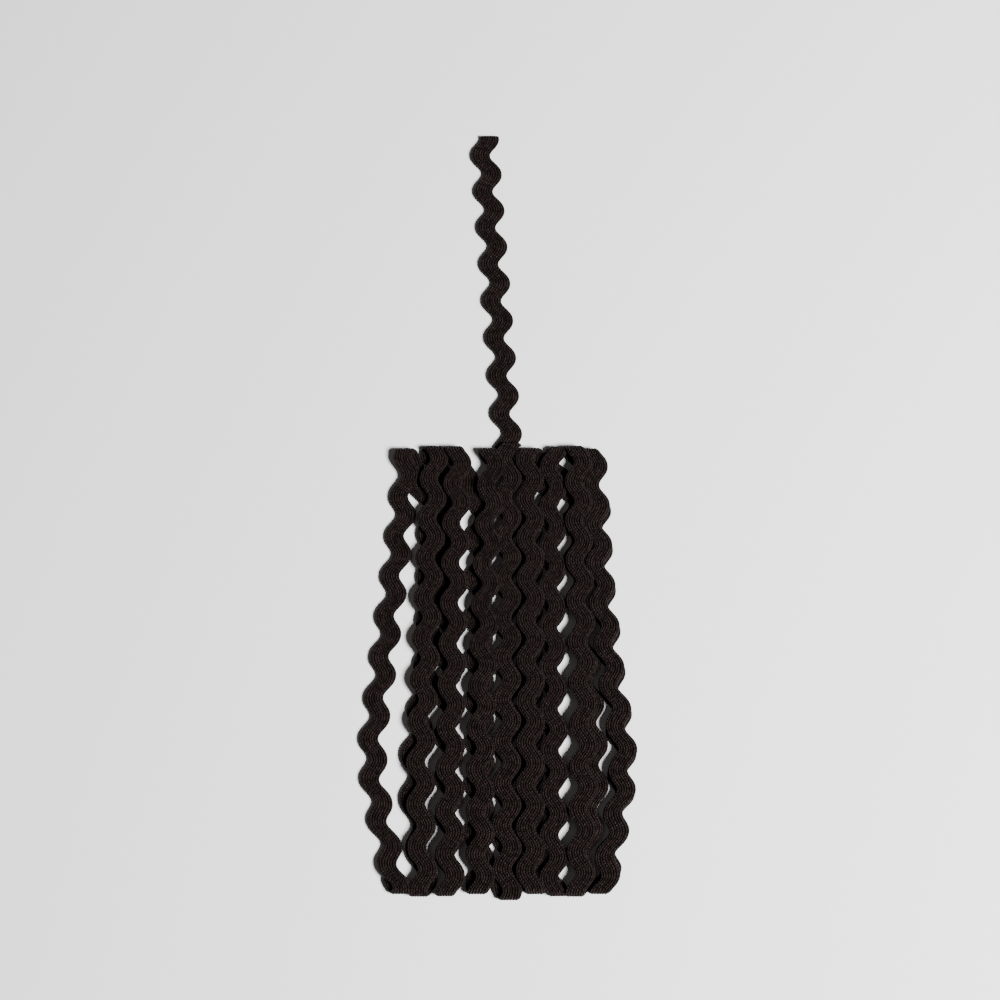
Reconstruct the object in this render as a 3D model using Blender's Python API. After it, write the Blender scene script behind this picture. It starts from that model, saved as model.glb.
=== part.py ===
"""A flat hank of brown baby ric rac, with its loose end laid out straight above it.

Units are metres. The hank lies on z = 0 with its runs along Y, the loose end pointing to +Y.
"""
import math
from collections import namedtuple

import bmesh
import bpy

MM = 0.001

# The trim: a flat braid woven in a wave
THICKNESS = 1.0 * MM
LOBE_ROUNDNESS = 0.12            # how much blunter the outer lobes are than the inner curves
HANK_HALF_BAND = 1.93 * MM       # half the braid's width at a lobe, measured across the hank
HANK_SWING = 1.02 * MM           # sideways swing of the wave where the winding stretches it
LOOSE_HALF_BAND = 2.03 * MM      # the same two sizes where the trim lies slack
LOOSE_SWING = 1.15 * MM
LOOSE_PERIOD = 8.3 * MM
EDGE_ROUND = 0.35 * MM           # how far the braid's flat face stops short of its edge

# The hank: two layers of runs, folded back at both ends
HANK_LENGTH = 93 * MM
HANK_TOP_Y = 12 * MM
LAYER_GAP = 0.1 * MM
FRONT_Z = 2 * THICKNESS + LAYER_GAP
FRONT_VALLEY_Z = 1.3 * MM
BACK_VALLEY_Z = 0.8 * MM
MIDDLE_Z = 0.5 * (FRONT_VALLEY_Z + BACK_VALLEY_Z)
END_ROUND = 1.4 * MM             # length over which the folded ends round off
END_THICKNESS = 0.5 * MM         # what is left of the height at the very tip
END_SCALLOP = 1.3 * MM           # how far the ends draw in between two runs
END_STAGGER = 1.2 * MM           # how unevenly the runs fold back
END_STAGGER_STEP = 1.9
LOOSE_RUN = 4                    # the run that the loose end comes away from
SLIT = 0.12 * MM                 # the groove left where two runs touch
STATIONS = 76

# The outermost run on the left bows away and leaves a gap that is open right through
OPEN_FROM = 0.13                 # as a share of the hank's length, measured from the top
OPEN_TO = 0.90
OPEN_CELLS = (2, 3, 4)           # the cells between its ridge and the next run's ridge
BOWED_Z = THICKNESS + LAYER_GAP
BOW_FALL = 12 * MM               # length over which it comes down to lie flat

# One row for each run, in millimetres: its x at each of the heights, the y of one lobe that
# points to +X, the length of its wave, and how much it rides up on its neighbours
HEIGHTS = (12, -15, -35, -55, -81)
Run = namedtuple("Run", "x_12 x_15 x_35 x_55 x_81 lobe_y period lift")

FRONT_RUNS = [
    Run(-18.9, -21.40, -23.80, -25.00, -19.6, -28.14, 8.33, 0.0),
    Run(-13.5, -14.40, -15.20, -16.50, -15.3, -24.93, 8.33, 0.0),
    Run(-9.00, -9.80, -9.97, -10.20, -9.90, -26.14, 8.33, 0.5),
    Run(-1.20, -2.10, -3.20, -3.40, -3.70, -26.37, 8.33, 0.3),
    Run(1.75, 1.67, 1.61, 1.55, 1.50, -30.28, 8.33, 0.0),
    Run(6.10, 6.20, 6.12, 6.06, 5.90, -30.67, 8.33, 0.6),
    Run(11.30, 11.20, 11.03, 10.85, 10.50, -32.35, 8.33, 0.0),
    Run(16.20, 16.25, 16.12, 15.95, 15.40, -34.06, 8.33, 0.6),
    Run(19.40, 20.75, 22.80, 25.10, 20.00, -26.40, 8.33, 0.0),
]

BACK_RUNS = [
    Run(-18.9, -21.40, -23.80, -25.00, -19.6, -28.14, 8.33, 0.0),
    Run(-14.3, -13.90, -14.30, -17.40, -15.6, -30.40, 9.00, 0.0),
    Run(-9.80, -10.20, -10.20, -10.30, -9.90, -26.50, 8.33, 0.0),
    Run(-3.60, -3.65, -3.60, -4.00, -4.60, -30.24, 8.33, 0.0),
    Run(1.50, 1.50, 1.45, 1.40, 1.30, -29.80, 8.33, 0.0),
    Run(5.90, 5.90, 5.85, 5.85, 5.80, -31.30, 8.33, 0.0),
    Run(10.90, 10.75, 10.60, 10.40, 10.10, -32.00, 8.33, 0.0),
    Run(15.20, 15.70, 17.05, 18.40, 16.80, -33.75, 8.33, 0.0),
    Run(19.90, 20.60, 22.50, 24.50, 20.40, -27.20, 8.33, 0.0),
]

# The loose end: one slack length of the trim, slanting a little to the left
LOOSE_GAP = 0.3 * MM
LOOSE_FOOT = (1.6 * MM, HANK_TOP_Y + LOOSE_GAP)
LOOSE_TIP = (-3.4 * MM, 81 * MM)
LOOSE_LOBE_Y = 55.7 * MM
LOOSE_SIDE_Z = 0.3 * MM          # how far the rounded long edges stand in from top and bottom
LOOSE_STATIONS = 72

BROWN = (0.020, 0.011, 0.008, 1.0)
BROWN_LOOSE = (0.026, 0.015, 0.011, 1.0)
ROUGHNESS = 0.8


def clear_scene():
    for item in list(bpy.data.objects):
        bpy.data.objects.remove(item, do_unlink=True)


def mix(a, b, share):
    return a + (b - a) * share


def braid_edges(centre_x, phase, half_band, swing):
    """Left and right edge of the wavy braid: blunt outer lobes, tighter inner curves."""
    middle = centre_x + swing * math.cos(phase)
    half = half_band + swing * LOBE_ROUNDNESS * (1 - math.cos(2 * phase))
    return middle - half, middle + half


def run_centre(run, y):
    """x on a smooth line through the run's places at the named heights, all in millimetres."""
    places = run[:len(HEIGHTS)]
    last = len(HEIGHTS) - 1
    above = max([i for i in range(last) if y <= HEIGHTS[i]], default=0)

    def slope(i):
        before, after = max(i - 1, 0), min(i + 1, last)
        return (places[after] - places[before]) / (HEIGHTS[after] - HEIGHTS[before])

    length = HEIGHTS[above + 1] - HEIGHTS[above]
    t = (y - HEIGHTS[above]) / length
    return (places[above] * (2 * t ** 3 - 3 * t ** 2 + 1) + places[above + 1] * (3 * t ** 2 - 2 * t ** 3)
            + length * (slope(above) * (t ** 3 - 2 * t ** 2 + t) + slope(above + 1) * (t ** 3 - t ** 2)))


def run_edges(run, share):
    """Edges of one run of the hank at a share of the way down from its top."""
    y = (HANK_TOP_Y - share * HANK_LENGTH) / MM
    phase = 2 * math.pi * (y - run.lobe_y) / run.period
    return braid_edges(run_centre(run, y) * MM, phase, HANK_HALF_BAND, HANK_SWING)


def grid_solid(name, columns, stations, place, missing=None):
    """A closed solid from two matching grids of points, joined by walls all round.

    place(column, station, is_top) gives a point, and missing(column, station) is true for a
    cell that is left open right through.
    """
    bm = bmesh.new()
    bmesh.ops.create_grid(bm, x_segments=columns - 1, y_segments=stations - 1, size=1.0)
    for vert in bm.verts:
        column = round((vert.co.x + 1) / 2 * (columns - 1))
        station = round((vert.co.y + 1) / 2 * (stations - 1))
        vert.co = (column, station, 0)
    if missing:
        holes = []
        for face in bm.faces:
            corner = (min(v.co.x for v in face.verts), min(v.co.y for v in face.verts))
            if missing(round(corner[0]), round(corner[1])):
                holes.append(face)
        bmesh.ops.delete(bm, geom=holes, context="FACES")
    raised = bmesh.ops.extrude_face_region(bm, geom=bm.faces[:])["geom"]
    bmesh.ops.translate(bm, verts=[v for v in raised if isinstance(v, bmesh.types.BMVert)], vec=(0, 0, 1))
    bmesh.ops.recalc_face_normals(bm, faces=bm.faces[:])
    for vert in bm.verts:
        vert.co = place(round(vert.co.x), round(vert.co.y), vert.co.z > 0.5)
    bmesh.ops.recalc_face_normals(bm, faces=bm.faces[:])
    mesh = bpy.data.meshes.new(name)
    bm.to_mesh(mesh)
    bm.free()
    return bpy.data.objects.new(name, mesh)


def layer_columns(runs, share):
    """x, run number and kind of each column of points across one layer, from left to right."""
    edges = [run_edges(run, share) for run in runs]
    columns = [(edges[0][0], 0, "base"), (edges[0][0] + EDGE_ROUND, 0, "ridge")]
    for number in range(len(edges) - 1):
        middle = (edges[number][1] + edges[number + 1][0]) / 2
        right = min(edges[number][1], middle - SLIT / 2)
        left = max(edges[number + 1][0], middle + SLIT / 2)
        columns += [(right - EDGE_ROUND, number, "ridge"), (right, number, "valley")]
        columns += [(left, number + 1, "valley"), (left + EDGE_ROUND, number + 1, "ridge")]
    last = len(edges) - 1
    columns += [(edges[last][1] - EDGE_ROUND, last, "ridge"), (edges[last][1], last, "base")]
    return columns


def hank_stations():
    """Shares of the way down the hank, with extra ones where the ends round off."""
    fine = END_ROUND / HANK_LENGTH
    ends = [0.0, 0.25 * fine, 0.6 * fine]
    inner = STATIONS - 2 * len(ends)
    shares = [mix(fine, 1 - fine, i / (inner - 1)) for i in range(inner)]
    return ends + shares + [1 - share for share in reversed(ends)]


def end_height(share):
    """1 along the hank, falling on a round to a thin tip at both ends."""
    reach = min(share, 1 - share) * HANK_LENGTH / END_ROUND
    if reach >= 1:
        return 1.0
    least = END_THICKNESS / FRONT_Z
    return least + (1 - least) * math.sqrt(1 - (1 - reach) ** 2)


def bow_share(share):
    """0 at the hank's ends, 1 where the leftmost run has come down flat beside the others."""
    rise = min(1.0, min(share, 1 - share) * HANK_LENGTH / BOW_FALL)
    return rise ** 2 * (3 - 2 * rise)


def end_inset(number, kind):
    """How far short of the hank's ends a run folds back, and the dip between two runs."""
    stagger = END_STAGGER * abs(math.sin(END_STAGGER_STEP * (number - LOOSE_RUN)))
    return stagger if kind == "ridge" else stagger + END_SCALLOP


def top_height(number, kind, share):
    ridge = FRONT_Z + FRONT_RUNS[number].lift * MM
    if number == 0:
        ridge = mix(ridge, BOWED_Z, bow_share(share))
    return {"ridge": ridge, "base": ridge - EDGE_ROUND, "valley": FRONT_VALLEY_Z}[kind]


def under_height(kind):
    return {"ridge": 0.0, "base": EDGE_ROUND, "valley": BACK_VALLEY_Z}[kind]


def hank():
    shares = hank_stations()
    front = [layer_columns(FRONT_RUNS, share) for share in shares]
    back = [layer_columns(BACK_RUNS, share) for share in shares]

    def place(column, station, is_top):
        share = shares[station]
        x, number, kind = (front if is_top else back)[station][column]
        height = top_height(number, kind, share) if is_top else under_height(kind)
        z = MIDDLE_Z + (height - MIDDLE_Z) * end_height(share)
        inset = end_inset(number, kind)
        return x, HANK_TOP_Y - mix(inset, HANK_LENGTH - inset, share), z

    def missing(column, station):
        inside = OPEN_FROM <= shares[station] and shares[station + 1] <= OPEN_TO
        return inside and column in OPEN_CELLS

    return grid_solid("hank", len(front[0]), len(shares), place, missing)


def loose_end():
    def place(column, station, is_top):
        share = station / (LOOSE_STATIONS - 1)
        y = mix(LOOSE_FOOT[1], LOOSE_TIP[1], share)
        centre = mix(LOOSE_FOOT[0], LOOSE_TIP[0], share)
        phase = 2 * math.pi * (y - LOOSE_LOBE_Y) / LOOSE_PERIOD
        left, right = braid_edges(centre, phase, LOOSE_HALF_BAND, LOOSE_SWING)
        x = (left, left + EDGE_ROUND, right - EDGE_ROUND, right)[column]
        side = LOOSE_SIDE_Z if column in (0, 3) else 0.0
        return x, y, THICKNESS - side if is_top else side

    return grid_solid("loose_end", 4, LOOSE_STATIONS, place)


def fabric(name, colour):
    material = bpy.data.materials.new(name)
    material.use_nodes = True
    shader = material.node_tree.nodes["Principled BSDF"]
    shader.inputs["Base Color"].default_value = colour
    shader.inputs["Roughness"].default_value = ROUGHNESS
    shader.inputs["Metallic"].default_value = 0.0
    return material


def centre_on_origin(parts):
    """Move all points so that the origin is at the middle of the whole part's base."""
    points = [vert.co for part in parts for vert in part.data.vertices]
    shift_x = -(min(p.x for p in points) + max(p.x for p in points)) / 2
    shift_y = -(min(p.y for p in points) + max(p.y for p in points)) / 2
    for point in points:
        point.x += shift_x
        point.y += shift_y
    return shift_x, shift_y


def main():
    clear_scene()
    collection = bpy.data.collections.new("ric_rac_hank")
    bpy.context.scene.collection.children.link(collection)
    parts = [hank(), loose_end()]
    for part, colour in zip(parts, (BROWN, BROWN_LOOSE)):
        part.data.materials.append(fabric(part.name + "_braid", colour))
        part.data.shade_smooth()
        part.data.set_sharp_from_angle(angle=math.radians(40))
        collection.objects.link(part)
    centre_on_origin(parts)


main()
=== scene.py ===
"""How the flat hank of brown baby ric rac looks: ribbed braid on a pale floor, lit from the right.

Units are metres, in the same frame as the CAD: the runs lie along Y and the loose end points to +Y.
"""
import math
from collections import namedtuple

import bpy
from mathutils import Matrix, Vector


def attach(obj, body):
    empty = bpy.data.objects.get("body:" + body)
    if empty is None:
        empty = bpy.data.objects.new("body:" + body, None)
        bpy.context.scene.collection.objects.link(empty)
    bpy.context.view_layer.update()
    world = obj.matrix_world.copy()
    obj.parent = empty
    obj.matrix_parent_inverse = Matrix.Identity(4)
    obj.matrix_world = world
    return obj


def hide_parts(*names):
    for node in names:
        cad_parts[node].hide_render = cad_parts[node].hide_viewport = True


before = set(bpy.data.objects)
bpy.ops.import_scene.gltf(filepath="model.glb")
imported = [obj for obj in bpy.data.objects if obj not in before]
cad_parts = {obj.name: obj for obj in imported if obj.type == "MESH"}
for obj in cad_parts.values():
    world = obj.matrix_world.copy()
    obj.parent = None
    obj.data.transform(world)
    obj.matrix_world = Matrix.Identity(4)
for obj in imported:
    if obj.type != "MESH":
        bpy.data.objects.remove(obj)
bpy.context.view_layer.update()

MM = 0.001

# The braid
THICKNESS = 1.0 * MM
WAVE_PERIOD = 8.33 * MM          # where the trim isn't stretched or slack
LOBE_ROUNDNESS = 0.12            # how much blunter the outer lobes are than the inner curves
HANK_HALF_BAND = 1.93 * MM       # half the braid's width at a lobe, and its sideways swing
HANK_SWING = 1.02 * MM
LOOSE_HALF_BAND = 2.03 * MM      # the same two where the trim lies slack
LOOSE_SWING = 1.15 * MM
LOOSE_PERIOD = 8.3 * MM

# Its cross-section
RIBS = 6                         # on the flat, with one more at each edge
RIB_HEIGHT = 0.13 * MM
RIB_FULLNESS = 0.8               # below 1, a rib's top is blunter than a sine wave's
OUTER_POINTS_PER_RIB = 5
INNER_POINTS_PER_RIB = 3
EDGE_RADIUS = 0.42 * MM
EDGE_POINTS = 5

# The winding
HANK_LENGTH = 93 * MM
TOP_Y = 12 * MM
LOW_Y = TOP_Y - HANK_LENGTH
LAYER_GAP = 0.1 * MM
BACK_MIDDLE_Z = 0.5 * THICKNESS
FRONT_MIDDLE_Z = 1.5 * THICKNESS + LAYER_GAP
BOWED_RUN = 0                    # the front run that bows out by itself, with none below it
BOW_FALL = 12 * MM               # length over which it comes down to the floor
END_STAGGER = 1.2 * MM           # how unevenly the runs fold back
END_STAGGER_STEP = 1.9
LOOSE_RUN = 4                    # the back run that goes on as the loose end
SHIFT_FROM_Y = -3 * MM           # above it a back run moves over to the fold that it comes from
SHIFT_TO_Y = 9 * MM
JOIN_BELOW_Y = -60 * MM          # below it a back run and its wave close up to its front run's
STEP = 0.6 * MM
FOLD_STEPS = 10
STUB = 2.0 * MM                  # what shows behind a fold where the trim goes on inside the hank

# One row for each run, in millimetres: its x at each of the heights, the y of one lobe that
# points to +X, the length of its wave, and how much it rides up on its neighbours
HEIGHTS = (12, -15, -35, -55, -81)
Run = namedtuple("Run", "x_12 x_15 x_35 x_55 x_81 lobe_y period lift", defaults=(0.0,))

FRONT_RUNS = [
    Run(-18.96, -21.52, -23.80, -25.38, -19.71, -28.44, 8.33, 0.1),
    Run(-13.56, -14.53, -15.20, -15.88, -15.11, -24.93, 8.33, 0.0),
    Run(-8.75, -9.30, -9.72, -9.95, -9.83, -26.14, 8.33, 0.6),
    Run(-1.51, -2.73, -3.45, -3.90, -3.85, -26.37, 8.33, 0.3),
    Run(1.62, 1.42, 1.36, 1.30, 1.43, -29.08, 8.33, 0.1),
    Run(6.10, 6.20, 6.12, 6.06, 5.90, -29.40, 8.33, 0.6),
    Run(11.11, 10.82, 10.70, 10.85, 10.50, -30.95, 8.33, 0.0),
    Run(16.20, 16.25, 16.62, 16.70, 15.62, -34.06, 8.33, 0.6),
    Run(19.27, 20.50, 22.30, 24.60, 19.85, -26.40, 8.33, 0.1),
]

BACK_RUNS = [
    None,
    Run(-14.49, -14.28, -14.80, -17.27, -15.56, -29.80, 9.00),
    Run(-10.18, -10.95, -10.70, -10.30, -9.90, -27.70, 8.33),
    Run(-4.00, -4.45, -4.22, -4.00, -4.60, -29.04, 8.33),
    Run(1.50, 1.50, 1.45, 1.40, 1.30, -29.80, 8.33),
    Run(5.90, 5.90, 5.85, 5.85, 5.80, -31.30, 8.33),
    Run(10.78, 10.50, 10.22, 10.15, 10.03, -32.00, 8.33),
    Run(15.32, 15.95, 17.55, 18.90, 16.95, -33.75, 8.33),
    Run(19.90, 20.60, 22.50, 24.50, 20.40, -27.20, 8.33),
]

LAST_RUN = len(FRONT_RUNS) - 1

LOOSE_FOOT = (1.6 * MM, 12.3 * MM)
LOOSE_TIP = (-3.4 * MM, 81 * MM)
LOOSE_LOBE_Y = 55.7 * MM

# The camera stands where the photograph was taken from
CAMERA_ELEVATION = math.radians(77.5)
CAMERA_DISTANCE = 0.35
CAMERA_LENS = 60.6
CAMERA_SENSOR = 36.0
CAMERA_CLIP_START = 0.01

# One cross-section of the trim: its middle without the wave, the way its outer face looks, the
# phase of its wave (None where it only has to join up), and its half width and swing
Station = namedtuple("Station", "x y z normal phase half_band swing")

UP = Vector((0, 0, 1))
DOWN = Vector((0, 0, -1))


def mix(a, b, share):
    return a + (b - a) * share


def smooth(share):
    share = min(1.0, max(0.0, share))
    return share * share * (3 - 2 * share)


# Camera

def add_camera():
    data = bpy.data.cameras.new("camera")
    data.lens = CAMERA_LENS
    data.sensor_width = CAMERA_SENSOR
    data.clip_start = CAMERA_CLIP_START
    camera = bpy.data.objects.new("camera", data)
    bpy.context.scene.collection.objects.link(camera)
    camera.location = (0, -CAMERA_DISTANCE * math.cos(CAMERA_ELEVATION),
                       CAMERA_DISTANCE * math.sin(CAMERA_ELEVATION))
    camera.rotation_euler = (math.pi / 2 - CAMERA_ELEVATION, 0, 0)
    bpy.context.scene.camera = camera


# The path of the trim

def run_x(run, y):
    """x on a smooth line through the run's places at the named heights."""
    places = run[:len(HEIGHTS)]
    last = len(HEIGHTS) - 1
    height = y / MM
    above = max([i for i in range(last) if height <= HEIGHTS[i]], default=0)

    def slope(i):
        before, after = max(i - 1, 0), min(i + 1, last)
        return (places[after] - places[before]) / (HEIGHTS[after] - HEIGHTS[before])

    length = HEIGHTS[above + 1] - HEIGHTS[above]
    t = (height - HEIGHTS[above]) / length
    x = places[above] * (2 * t ** 3 - 3 * t ** 2 + 1)
    x += places[above + 1] * (3 * t ** 2 - 2 * t ** 3)
    x += length * (slope(above) * (t ** 3 - 2 * t ** 2 + t) + slope(above + 1) * (t ** 3 - t ** 2))
    return x * MM


def rows(start, stop):
    """Values from start to stop, both included, about a step apart."""
    count = max(1, round(abs(stop - start) / STEP))
    return [mix(start, stop, i / count) for i in range(count + 1)]


def wave_phase(y, lobe_y, period, upwards):
    """Phase of the wave at y, growing along the trim whichever way it runs."""
    phase = 2 * math.pi * (y - lobe_y) / period
    return phase if upwards else -phase


def front_z(number, y):
    z = FRONT_MIDDLE_Z + FRONT_RUNS[number].lift * MM
    if number == BOWED_RUN:
        reach = min(TOP_Y - y, y - LOW_Y) / BOW_FALL
        z = mix(z, BACK_MIDDLE_Z, smooth(reach))
    return z


def fold_radius(number):
    return (FRONT_MIDDLE_Z + FRONT_RUNS[number].lift * MM - BACK_MIDDLE_Z) / 2


def fold_y(number, upper):
    """Where a run stops being straight and turns over at the hank's upper or lower end."""
    stagger = END_STAGGER * abs(math.sin(END_STAGGER_STEP * (number - LOOSE_RUN)))
    reach = stagger + fold_radius(number) + THICKNESS / 2
    return TOP_Y - reach if upper else LOW_Y + reach


def front_leg(number):
    """Front run, upwards from its lower fold to its upper one."""
    run = FRONT_RUNS[number]
    ys = rows(fold_y(number, upper=False), fold_y(number, upper=True))
    return [Station(run_x(run, y), y, front_z(number, y), UP,
                    wave_phase(y, run.lobe_y * MM, run.period * MM, upwards=True),
                    HANK_HALF_BAND, HANK_SWING) for y in ys]


def fold_leg(number, upper, share=1.0):
    """The trim turning over at one end of a front run, in the order in which the trim runs.

    With a share below 1, only that part of the half turn nearest to the front is made.
    """
    run = FRONT_RUNS[number]
    radius = fold_radius(number)
    foot = fold_y(number, upper)
    x = run_x(run, foot)
    outwards = 1 if upper else -1
    stations = []
    for i in range(1, FOLD_STEPS):
        angle = math.pi * share * i / FOLD_STEPS
        normal = Vector((0, outwards * math.sin(angle), math.cos(angle)))
        y = foot + outwards * radius * math.sin(angle)
        z = BACK_MIDDLE_Z + radius * (1 + math.cos(angle))
        stations.append(Station(x, y, z, normal, None, HANK_HALF_BAND, HANK_SWING))
    return stations if upper else stations[::-1]


def back_leg(number, start_y, start_x=None, loose=False):
    """Back run, downwards from start_y to its lower fold.

    Where start_x is given, its upper end moves over to that x. Where it is the loose end going
    on, it narrows from the slack trim's size. Its wave is set only where it shows.
    """
    run = BACK_RUNS[number]
    stations = []
    for y in rows(start_y, fold_y(number, upper=False)):
        x = run_x(run, y)
        shift = smooth((y - SHIFT_FROM_Y) / (SHIFT_TO_Y - SHIFT_FROM_Y))
        if start_x is not None:
            x = mix(x, start_x, shift)
        apart = smooth((y - LOW_Y) / (JOIN_BELOW_Y - LOW_Y))
        x = mix(run_x(FRONT_RUNS[number], y), x, apart)
        shows = JOIN_BELOW_Y <= y <= SHIFT_FROM_Y
        phase = wave_phase(y, run.lobe_y * MM, run.period * MM, upwards=False) if shows else None
        slack = shift if loose else 0.0
        stations.append(Station(x, y, BACK_MIDDLE_Z, DOWN, phase,
                                mix(HANK_HALF_BAND, LOOSE_HALF_BAND, slack),
                                mix(HANK_SWING, LOOSE_SWING, slack)))
    return stations


def stub(number, upper):
    """What shows behind a fold where the trim goes on inside the hank."""
    foot = fold_y(number, upper)
    inwards = -1 if upper else 1
    x = run_x(FRONT_RUNS[number], foot)
    stations = [Station(x, y, BACK_MIDDLE_Z, DOWN, None, HANK_HALF_BAND, HANK_SWING)
                for y in rows(foot, foot + inwards * STUB)]
    return stations if upper else stations[::-1]


def loose_leg():
    """The loose end from its tip down to where it goes in under the hank."""
    stations = []
    for y in rows(LOOSE_TIP[1], LOOSE_FOOT[1]):
        share = (y - LOOSE_FOOT[1]) / (LOOSE_TIP[1] - LOOSE_FOOT[1])
        phase = wave_phase(y, LOOSE_LOBE_Y, LOOSE_PERIOD, upwards=False)
        stations.append(Station(mix(LOOSE_FOOT[0], LOOSE_TIP[0], share), y, BACK_MIDDLE_Z, DOWN,
                                phase, LOOSE_HALF_BAND, LOOSE_SWING))
    return stations


def wound(first, last):
    """Front run first, over to the back, down, under and up again, and so on to front run last."""
    stations = front_leg(first)
    for number in range(first + 1, last + 1):
        upper_fold = fold_y(number - 1, upper=True)
        stations += fold_leg(number - 1, upper=True)
        stations += back_leg(number, upper_fold, run_x(FRONT_RUNS[number - 1], upper_fold))
        stations += fold_leg(number, upper=False) + front_leg(number)
    return stations


def path_lengths(stations):
    """How far along the trim each station is."""
    lengths = [0.0]
    for a, b in zip(stations, stations[1:]):
        lengths.append(lengths[-1] + math.dist((a.x, a.y, a.z), (b.x, b.y, b.z)))
    return lengths


def joined_phases(stations, lengths):
    """Phases of all stations: where the wave isn't set, it closes up evenly between where it is."""
    rate = 2 * math.pi / WAVE_PERIOD
    known = [i for i, station in enumerate(stations) if station.phase is not None]
    phases = [station.phase for station in stations]
    for i in range(known[0]):
        phases[i] = phases[known[0]] - rate * (lengths[known[0]] - lengths[i])
    for i in range(known[-1] + 1, len(stations)):
        phases[i] = phases[known[-1]] + rate * (lengths[i] - lengths[known[-1]])
    for a, b in zip(known, known[1:]):
        length = lengths[b] - lengths[a]
        turns = round((phases[a] + rate * length - phases[b]) / (2 * math.pi))
        end = phases[b] + 2 * math.pi * turns
        for i in range(a + 1, b):
            phases[i] = mix(phases[a], end, (lengths[i] - lengths[a]) / length)
    return phases


# The braid's mesh

def rib_profile(points_per_rib):
    """Points over the ribs of one face: (place across from 0 to 1, height from 0 to 1)."""
    count = RIBS * points_per_rib
    return [(i / count, math.sin(math.pi * (i % points_per_rib) / points_per_rib) ** RIB_FULLNESS)
            for i in range(count + 1)]


OUTER_PROFILE = rib_profile(OUTER_POINTS_PER_RIB)
INNER_PROFILE = rib_profile(INNER_POINTS_PER_RIB)


def cross_section(half):
    """Points round the braid for a half width of half: across, along the normal, rib number."""
    flat = half - EDGE_RADIUS
    valley = THICKNESS / 2 - RIB_HEIGHT
    rib_width = 2 * flat / RIBS
    edge = []
    for i in range(1, EDGE_POINTS + 1):
        angle = math.pi * i / (EDGE_POINTS + 1)
        rib = RIBS / 2 + EDGE_RADIUS * min(angle, math.pi - angle) / rib_width
        edge.append((EDGE_RADIUS * math.sin(angle), valley * math.cos(angle), rib))
    points = [(mix(-flat, flat, share), valley + RIB_HEIGHT * height, RIBS * (share - 0.5))
              for share, height in OUTER_PROFILE]
    points += [(flat + x, h, rib) for x, h, rib in edge]
    points += [(mix(flat, -flat, share), -valley - RIB_HEIGHT * height, RIBS * (0.5 - share))
               for share, height in INNER_PROFILE]
    points += [(-flat - x, -h, -rib) for x, h, rib in edge]
    return points


def braid_mesh(name, stations):
    """A closed braid along the stations. Its UVs are the length in mm and the rib number."""
    lengths = path_lengths(stations)
    phases = joined_phases(stations, lengths)
    verts, uvs = [], []
    for station, length, phase in zip(stations, lengths, phases):
        middle = Vector((station.x + station.swing * math.cos(phase), station.y, station.z))
        half = station.half_band + station.swing * LOBE_ROUNDNESS * (1 - math.cos(2 * phase))
        for across, out, rib in cross_section(half):
            verts.append(middle + Vector((across, 0, 0)) + station.normal * out)
            uvs.append((length / MM, rib))
    around = len(verts) // len(stations)
    faces = []
    for i in range(len(stations) - 1):
        near, far = i * around, (i + 1) * around
        for j in range(around):
            k = (j + 1) % around
            faces.append((near + j, near + k, far + k, far + j))
    for ring, order in ((0, -1), (len(stations) - 1, 1)):
        hub = len(verts)
        first = ring * around
        verts.append(sum((verts[first + j] for j in range(around)), Vector()) / around)
        uvs.append((uvs[first][0], 0.0))
        for j in range(around):
            k = (j + 1) % around
            faces.append((hub, first + j, first + k)[::order])
    mesh = bpy.data.meshes.new(name)
    mesh.from_pydata(verts, [], faces)
    layer = mesh.uv_layers.new(name="along_across")
    for loop in mesh.loops:
        layer.data[loop.index].uv = uvs[loop.vertex_index]
    mesh.validate()
    mesh.update()
    mesh.shade_smooth()
    piece = bpy.data.objects.new(name, mesh)
    bpy.context.scene.collection.objects.link(piece)
    return piece


# Materials

class Nodes:
    """Short calls for building a node tree."""

    def __init__(self, material):
        material.use_nodes = True
        self.tree = material.node_tree
        self.shader = self.tree.nodes["Principled BSDF"]

    def add(self, kind, **settings):
        node = self.tree.nodes.new(kind)
        for key, value in settings.items():
            setattr(node, key, value)
        return node

    def plug(self, socket, value):
        if hasattr(value, "is_output"):
            self.tree.links.new(value, socket)
        else:
            socket.default_value = value

    def math(self, operation, a, b=None, c=None, clamp=False):
        node = self.add("ShaderNodeMath", operation=operation, use_clamp=clamp)
        for socket, value in zip(node.inputs, (a, b, c)):
            if value is not None:
                self.plug(socket, value)
        return node.outputs[0]

    def mix_colour(self, factor, a, b):
        node = self.add("ShaderNodeMix", data_type="RGBA")
        self.plug(node.inputs["Factor"], factor)
        self.plug(node.inputs[6], a)             # 6, 7 and 2 are the node's colour sockets
        self.plug(node.inputs[7], b)
        return node.outputs[2]

    def noise(self, vector, scale, detail=2.0, roughness=0.5):
        node = self.add("ShaderNodeTexNoise")
        self.plug(node.inputs["Vector"], vector)
        self.plug(node.inputs["Scale"], scale)
        self.plug(node.inputs["Detail"], detail)
        self.plug(node.inputs["Roughness"], roughness)
        return node.outputs["Fac"]


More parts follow.
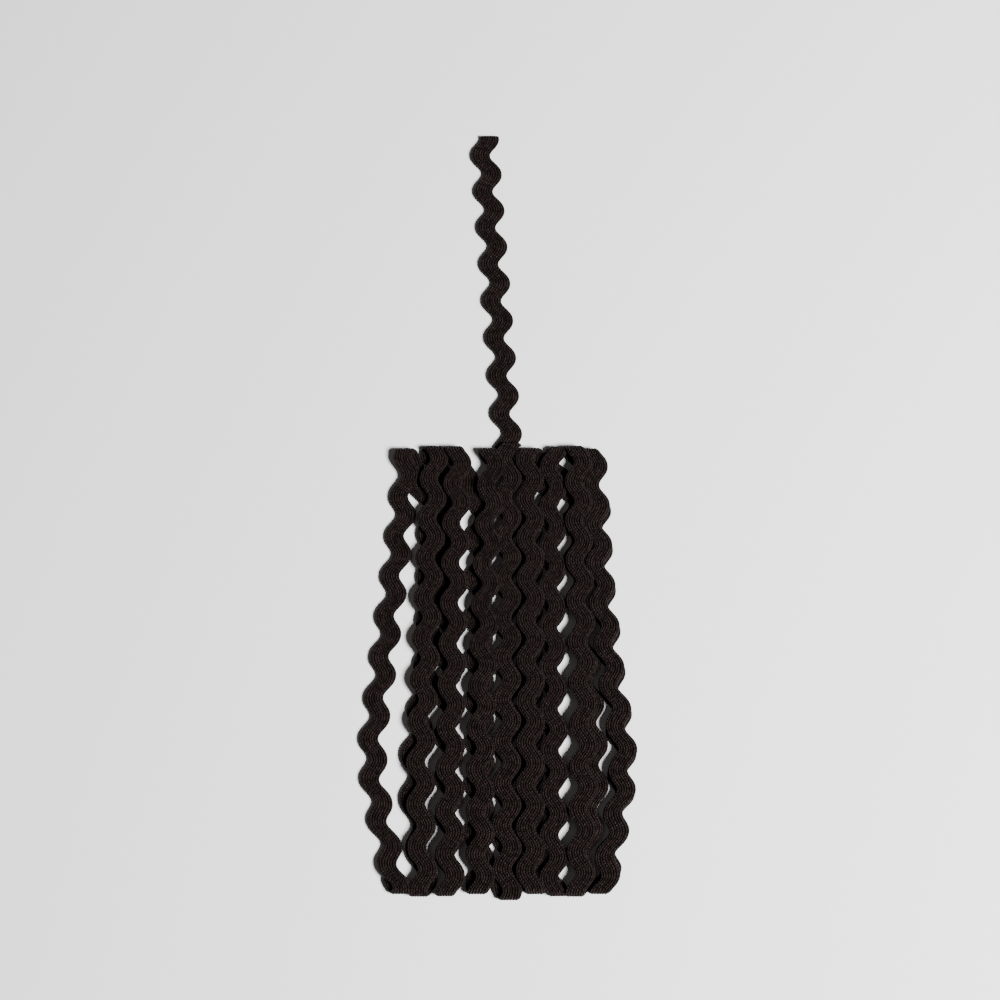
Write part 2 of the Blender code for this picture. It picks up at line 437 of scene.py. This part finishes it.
# Each rib is one row of stitches, which show as beads
STITCH = 0.50                    # length of a stitch along the braid, in millimetres
STITCH_LEAN = 0.7                # how far it slants from side to side of its rib, in stitches
LEAN_PIVOT = 0.25                # place across the rib where the slant moves nothing
UNEVEN_SCALE = 1100.0            # noise that shifts the stitches along the braid
UNEVEN_DETAIL = 3.0
UNEVEN_SHIFT = 0.9
CROWN_POWER = 0.7                # below 1, the yarn is blunter across the rib than a sine wave
BEAD_DEPTH = 0.9                 # how far the yarn sinks from one stitch to the next
FIBRE_SCALE = 9000.0             # fine noise for the yarn's fibres
FIBRE_DETAIL = 3.0
FIBRE_ROUGHNESS = 0.7
FIBRE_HEIGHT = 0.18              # its share in the bump
FIBRE_SHADE = (0.7, 0.55)        # and in the painted shade of the grooves, as a factor and an offset
BUMP_DISTANCE = 0.36 * MM

# The yarn's colour runs from painted shade down in the grooves to its own brown on the crowns
PAINTED_GROOVE_SHADE = (0.0006, 0.0004, 0.0004, 1.0)
YARN = (0.0091, 0.0054, 0.0047, 1.0)
# Colour of the painted highlight on stitch crowns
PAINTED_HIGHLIGHT_YARN = (0.035, 0.0235, 0.021, 1.0)
GLINT_SCALE = 1500.0             # noise that picks the stitch crowns that get a painted highlight
GLINT_RANGE = (3.0, -1.15)       # a factor and an offset
YARN_ROUGHNESS = 0.55
YARN_SPECULAR = 0.06
SHEEN_WEIGHT = 0.012
SHEEN_ROUGHNESS = 0.45
SHEEN_TINT = (0.62, 0.52, 0.50, 1.0)


def braid_material():
    """Plaited brown yarn: slanting stitches in ribs that lean alternately left and right, with
    painted shade in the grooves and a painted highlight on some stitch crowns.
    """
    material = bpy.data.materials.new("brown_braid")
    n = Nodes(material)
    uv = n.add("ShaderNodeUVMap", uv_map="along_across").outputs["UV"]
    place = n.add("ShaderNodeTexCoord").outputs["Object"]
    split = n.add("ShaderNodeSeparateXYZ")
    n.plug(split.inputs[0], uv)
    along, across = split.outputs[0], split.outputs[1]

    drift = n.math("SUBTRACT", n.noise(place, UNEVEN_SCALE, UNEVEN_DETAIL), 0.5)
    uneven = n.math("MULTIPLY", drift, UNEVEN_SHIFT)
    rib = n.math("ADD", across, RIBS / 2 + 4)    # above 0 at both edges, a whole number in valleys
    within = n.math("FRACT", rib)
    side = n.math("MULTIPLY_ADD", n.math("FLOORED_MODULO", n.math("FLOOR", rib), 2.0), 2.0, -1.0)
    lean = n.math("MULTIPLY", side, n.math("SUBTRACT", within, LEAN_PIVOT))
    stitch = n.math("MULTIPLY_ADD", lean, STITCH_LEAN, n.math("DIVIDE", along, STITCH))
    stitch = n.math("ADD", stitch, uneven)
    bead = n.math("SINE", n.math("MULTIPLY", n.math("FRACT", stitch), math.pi))
    crown = n.math("SINE", n.math("MULTIPLY", within, math.pi))
    yarn = n.math("MULTIPLY", n.math("POWER", crown, CROWN_POWER),
                  n.math("MULTIPLY_ADD", bead, BEAD_DEPTH, 1.0 - BEAD_DEPTH))
    fibre = n.noise(place, FIBRE_SCALE, FIBRE_DETAIL, FIBRE_ROUGHNESS)

    bump = n.add("ShaderNodeBump")
    bump.inputs["Strength"].default_value = 1.0
    bump.inputs["Distance"].default_value = BUMP_DISTANCE
    n.plug(bump.inputs["Height"], n.math("MULTIPLY_ADD", fibre, FIBRE_HEIGHT, yarn))

    # Painted highlight: pale colour on the crowns of stitches that the noise picks out
    glint = n.math("MULTIPLY_ADD", n.noise(place, GLINT_SCALE), *GLINT_RANGE, clamp=True)
    # Painted shade: the colour darkens into the grooves between ribs and between stitches, and
    # fibre noise makes the tone uneven
    painted_shade_and_fibre = n.math("MULTIPLY", yarn, n.math("MULTIPLY_ADD", fibre, *FIBRE_SHADE), clamp=True)
    colour = n.mix_colour(painted_shade_and_fibre, PAINTED_GROOVE_SHADE, YARN)
    colour = n.mix_colour(n.math("MULTIPLY", glint, painted_shade_and_fibre), colour, PAINTED_HIGHLIGHT_YARN)
    n.plug(n.shader.inputs["Base Color"], colour)
    n.plug(n.shader.inputs["Normal"], bump.outputs["Normal"])
    n.shader.inputs["Roughness"].default_value = YARN_ROUGHNESS
    n.shader.inputs["Specular IOR Level"].default_value = YARN_SPECULAR
    n.shader.inputs["Sheen Weight"].default_value = SHEEN_WEIGHT
    n.shader.inputs["Sheen Roughness"].default_value = SHEEN_ROUGHNESS
    n.shader.inputs["Sheen Tint"].default_value = SHEEN_TINT
    return material


FLOOR_COLOUR = (0.80, 0.80, 0.81, 1.0)
FLOOR_ROUGHNESS = 0.9
FLOOR_SPECULAR = 0.1


def floor_material():
    material = bpy.data.materials.new("pale_floor")
    material.use_nodes = True
    shader = material.node_tree.nodes["Principled BSDF"]
    shader.inputs["Base Color"].default_value = FLOOR_COLOUR
    shader.inputs["Roughness"].default_value = FLOOR_ROUGHNESS
    shader.inputs["Specular IOR Level"].default_value = FLOOR_SPECULAR
    return material


# Floor and light

FLOOR_SIZE = 3.0
FLOOR_Z = -0.05 * MM             # just below the braid
KEY_FROM = Vector((0.52, -0.24, 0.57))
KEY_SIZE = 0.28
KEY_POWER = 27.0
FILL_FROM = Vector((-0.45, 0.30, 0.80))
FILL_SIZE = 0.9
FILL_POWER = 0.25
WARM_WHITE = (1.0, 0.90, 0.80, 1.0)
WORLD_STRENGTH = 0.05
BACKDROP_WHITE = (1.0, 1.0, 1.0, 1.0)
BACKDROP_STRENGTH = 0.62


def add_floor():
    mesh = bpy.data.meshes.new("floor")
    half = FLOOR_SIZE / 2
    corners = ((-half, -half), (half, -half), (half, half), (-half, half))
    mesh.from_pydata([(x, y, FLOOR_Z) for x, y in corners], [], [(0, 1, 2, 3)])
    mesh.materials.append(floor_material())
    floor = bpy.data.objects.new("floor", mesh)
    bpy.context.scene.collection.objects.link(floor)


def add_light(name, place, size, power):
    data = bpy.data.lights.new(name, "AREA")
    data.shape = "DISK"
    data.size = size
    data.energy = power
    light = bpy.data.objects.new(name, data)
    bpy.context.scene.collection.objects.link(light)
    light.location = place
    light.rotation_euler = (-place).to_track_quat("-Z", "Y").to_euler()


def add_world():
    """Weak warm light from all round, with a pale backdrop where the view goes past the floor."""
    world = bpy.data.worlds.new("studio")
    world.use_nodes = True
    tree = world.node_tree
    light = tree.nodes["Background"]
    light.inputs["Color"].default_value = WARM_WHITE
    light.inputs["Strength"].default_value = WORLD_STRENGTH
    seen = tree.nodes.new("ShaderNodeBackground")
    seen.inputs["Color"].default_value = BACKDROP_WHITE
    seen.inputs["Strength"].default_value = BACKDROP_STRENGTH
    to_camera = tree.nodes.new("ShaderNodeLightPath").outputs["Is Camera Ray"]
    choose = tree.nodes.new("ShaderNodeMixShader")
    tree.links.new(to_camera, choose.inputs["Fac"])
    tree.links.new(light.outputs[0], choose.inputs[1])
    tree.links.new(seen.outputs[0], choose.inputs[2])
    tree.links.new(choose.outputs[0], tree.nodes["World Output"].inputs["Surface"])
    bpy.context.scene.world = world


def dress(piece, node, material):
    piece.data.materials.append(material)
    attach(piece, "root")
    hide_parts(node)


def main():
    add_camera()
    braid = braid_material()

    loose = loose_leg()
    loose_end = braid_mesh("braid_loose_end", loose)
    dress(loose_end, "loose_end", braid)

    last = LOOSE_RUN - 1
    left = stub(BOWED_RUN, upper=False) + fold_leg(BOWED_RUN, upper=False)
    left += wound(BOWED_RUN, last) + fold_leg(last, upper=True) + stub(last, upper=True)
    dress(braid_mesh("braid_left_runs", left), "hank", braid)

    middle = loose[-1:] + back_leg(LOOSE_RUN, LOOSE_FOOT[1], LOOSE_FOOT[0], loose=True)[1:]
    middle += fold_leg(LOOSE_RUN, upper=False) + front_leg(LOOSE_RUN)
    middle += fold_leg(LOOSE_RUN, upper=True, share=0.5)
    dress(braid_mesh("braid_middle_runs", middle), "hank", braid)

    first = LOOSE_RUN + 1
    right = back_leg(first, SHIFT_FROM_Y) + fold_leg(first, upper=False)
    right += wound(first, LAST_RUN) + fold_leg(LAST_RUN, upper=True) + stub(LAST_RUN, upper=True)
    dress(braid_mesh("braid_right_runs", right), "hank", braid)

    add_floor()
    add_light("key", KEY_FROM, KEY_SIZE, KEY_POWER)
    add_light("fill", FILL_FROM, FILL_SIZE, FILL_POWER)
    add_world()


main()
